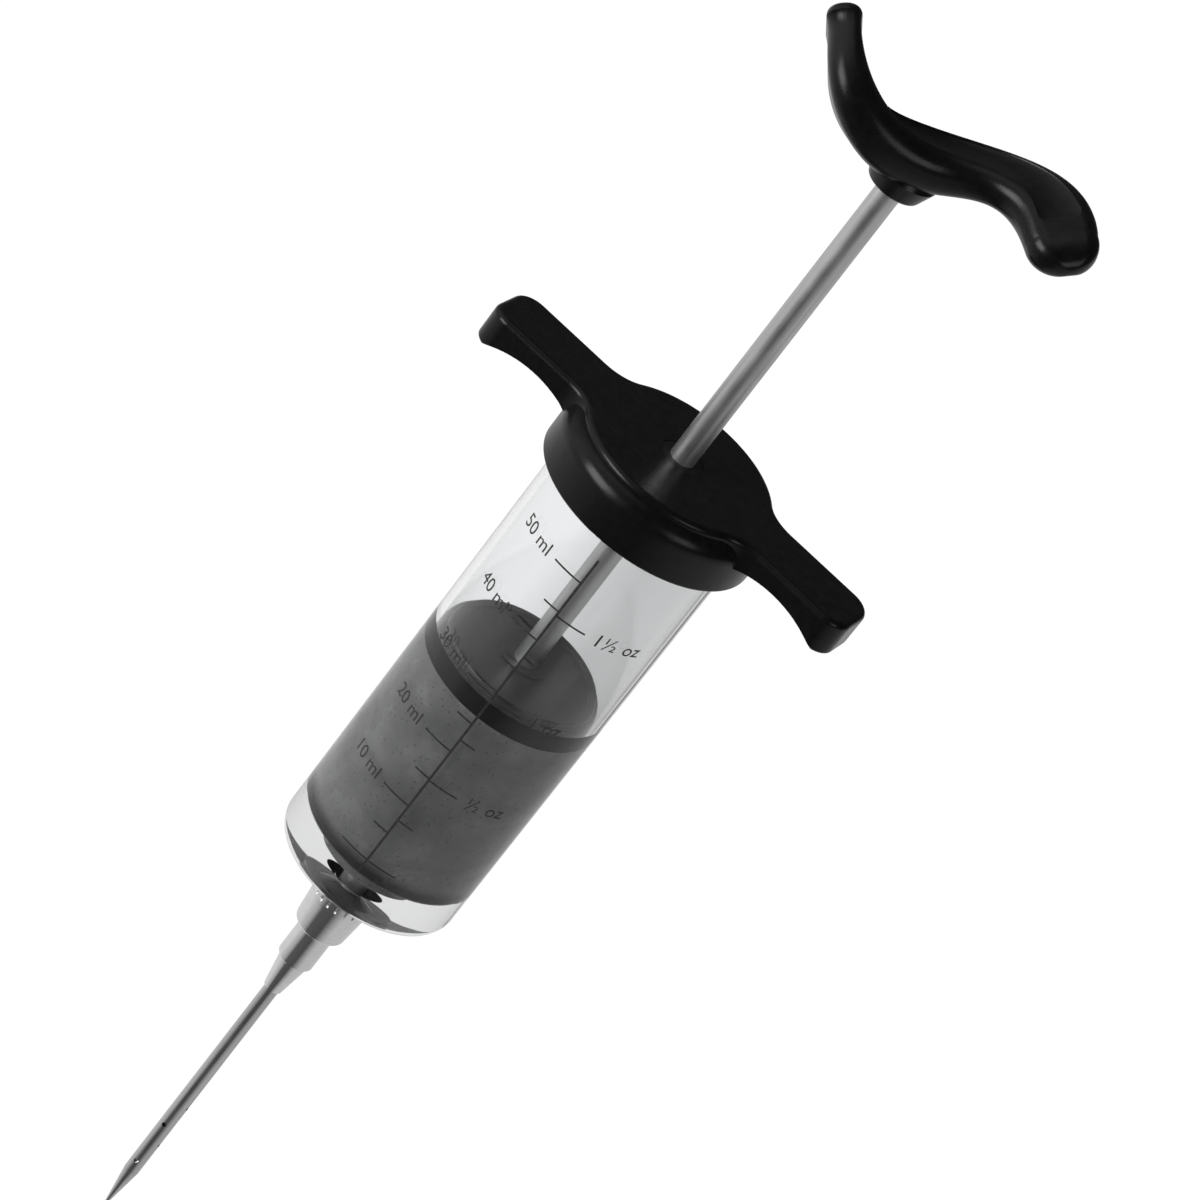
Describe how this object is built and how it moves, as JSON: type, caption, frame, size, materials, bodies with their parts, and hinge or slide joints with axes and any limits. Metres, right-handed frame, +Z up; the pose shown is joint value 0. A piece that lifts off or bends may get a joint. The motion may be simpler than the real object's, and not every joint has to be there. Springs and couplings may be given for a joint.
{
  "type": "meat injector",
  "caption": "Hand injector for meat: clear graduated barrel, black screw-on finger grip, plunger with a sculpted T handle and a screwed marinade needle.",
  "frame": {"origin": "on the barrel's axis, at the middle of its plain outer wall", "axes": "+Z up the axis from the needle to the handle; +X along one finger wing; +Y completes the right-handed frame, so the graduations are on the -Y side"},
  "size_m": [0.0776, 0.04, 0.2686],
  "materials": {
    "clear_plastic": "clear moulded plastic, polished",
    "black_plastic": "black moulded plastic, satin",
    "seal_rubber": "black food-grade rubber",
    "guide_plastic": "dark bearing plastic",
    "piston_plastic": "dark grey moulded plastic",
    "steel": "stainless, fine drawn finish",
    "chromed_steel": "bright plated",
    "brass": "turned brass"
  },
  "bodies": {
    "barrel": {"barrel": "clear_plastic"},
    "piston": {"piston_seal": "seal_rubber"},
    "plunger": {"plunger_rod": "steel", "handle": "black_plastic", "handle_insert": "brass", "piston_top_plate": "piston_plastic", "piston_core": "piston_plastic", "piston_bottom_plate": "piston_plastic", "piston_washer": "steel", "piston_lock_washer": "steel", "piston_nut": "steel"},
    "grip_gasket": {"cap_gasket": "seal_rubber"},
    "grip": {"finger_grip": "black_plastic", "rod_bush": "guide_plastic", "rod_wiper": "seal_rubber", "wiper_retainer": "steel"},
    "needle": {"needle_tube": "steel", "needle_point": "steel", "needle_flange": "steel", "needle_ferrule": "chromed_steel", "needle_gasket": "seal_rubber"},
    "nut": {"needle_nut": "chromed_steel"}
  },
  "joints": [
    {"name": "plunger_slide", "type": "slide", "parent": "barrel", "child": "piston", "axis": [0, 0, 1], "range_m": [-0.036, 0.0395]},
    {"name": "handle_turn", "type": "hinge", "parent": "piston", "child": "plunger", "pos_m": [0, 0, 0.003], "axis": [0, 0, 1], "continuous": true},
    {"name": "grip_rise", "type": "slide", "parent": "barrel", "child": "grip_gasket", "axis": [0, 0, 1], "range_m": [0, 0.0046]},
    {"name": "grip_turn", "type": "hinge", "parent": "grip_gasket", "child": "grip", "pos_m": [0, 0, 0.048], "axis": [0, 0, 1], "range_deg": [0, 540]},
    {"name": "needle_drop", "type": "slide", "parent": "barrel", "child": "needle", "axis": [0, 0, -1], "range_m": [0, 0.0082]},
    {"name": "needle_nut_turn", "type": "hinge", "parent": "needle", "child": "nut", "pos_m": [0, 0, -0.055], "axis": [0, 0, -1], "range_deg": [0, 1440]}
  ],
  "couplings": [
    {"joint": "grip_rise", "follows": "grip_turn", "m_per_rad": 0.00047746},
    {"joint": "needle_drop", "follows": "needle_nut_turn", "m_per_rad": 0.00031831}
  ]
}
